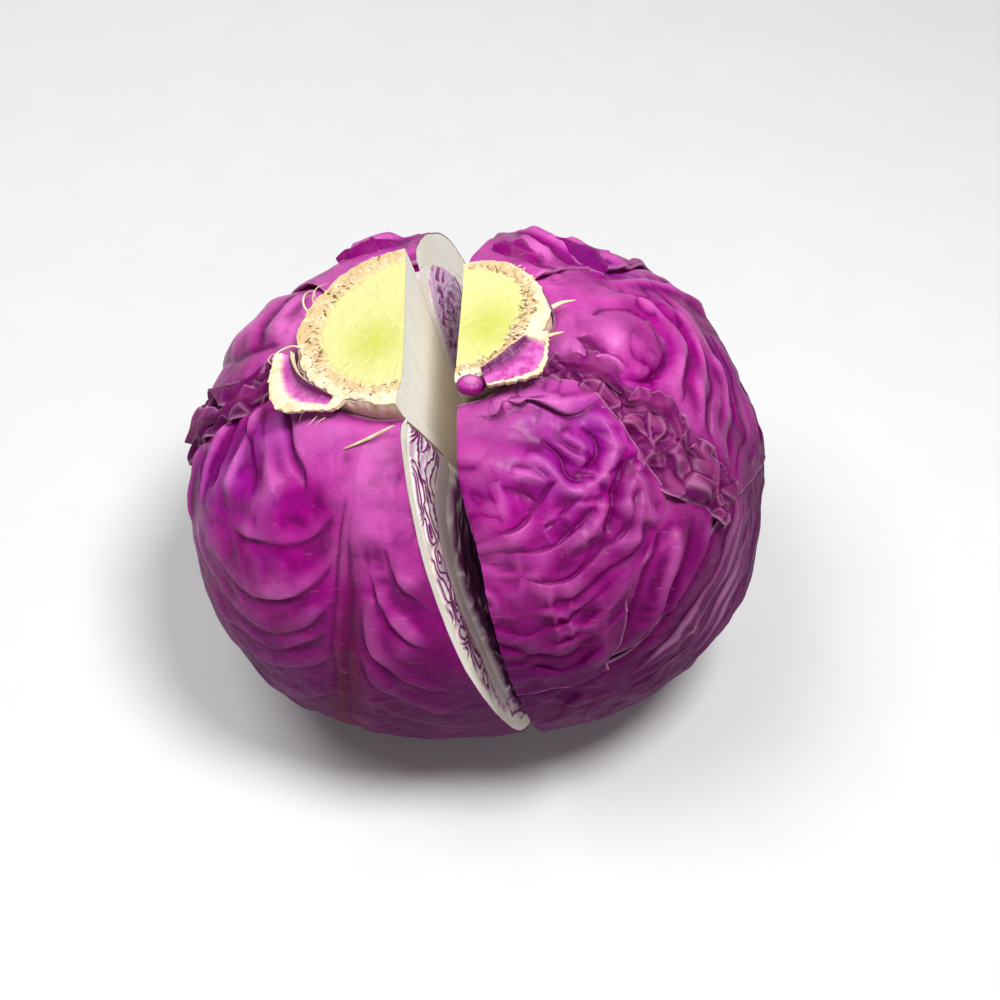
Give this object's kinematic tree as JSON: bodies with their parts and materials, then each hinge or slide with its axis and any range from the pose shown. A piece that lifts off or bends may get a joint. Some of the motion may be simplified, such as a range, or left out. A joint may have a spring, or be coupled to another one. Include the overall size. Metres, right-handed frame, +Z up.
{
  "type": "red cabbage head",
  "caption": "Red cabbage head resting on its crown, cut lengthwise through the stem into halves that still stand together.",
  "frame": {"origin": "under the middle of the head's box, on the surface it rests on", "axes": "+Z up, with the stem end on top; the cut between the halves runs front to back along Y; +X to the right as seen from the front"},
  "size_m": [0.169, 0.1476, 0.1451],
  "materials": {
    "outer_leaf": "waxy, soft gloss",
    "torn_leaf": "dull and bruised",
    "inner_leaf": "moist, cut",
    "stem": "moist pith with a fibrous rim",
    "cut_leaf_base": "cut, pale",
    "bud": "smooth"
  },
  "bodies": {
    "root": {"left_heart": "inner_leaf", "right_heart": "inner_leaf", "left_core": "stem", "right_core": "stem", "left_leaf_front": "outer_leaf", "left_torn_rim": "torn_leaf", "left_leaf_side": "outer_leaf", "left_leaf_back": "outer_leaf", "right_leaf_front": "outer_leaf", "right_torn_rim": "torn_leaf", "right_leaf_fold": "outer_leaf", "right_leaf_low": "outer_leaf", "right_leaf_side": "outer_leaf", "right_leaf_back": "outer_leaf", "left_leaf_stub": "cut_leaf_base", "right_leaf_stub": "cut_leaf_base", "right_bud": "bud"}
  },
  "joints": []
}
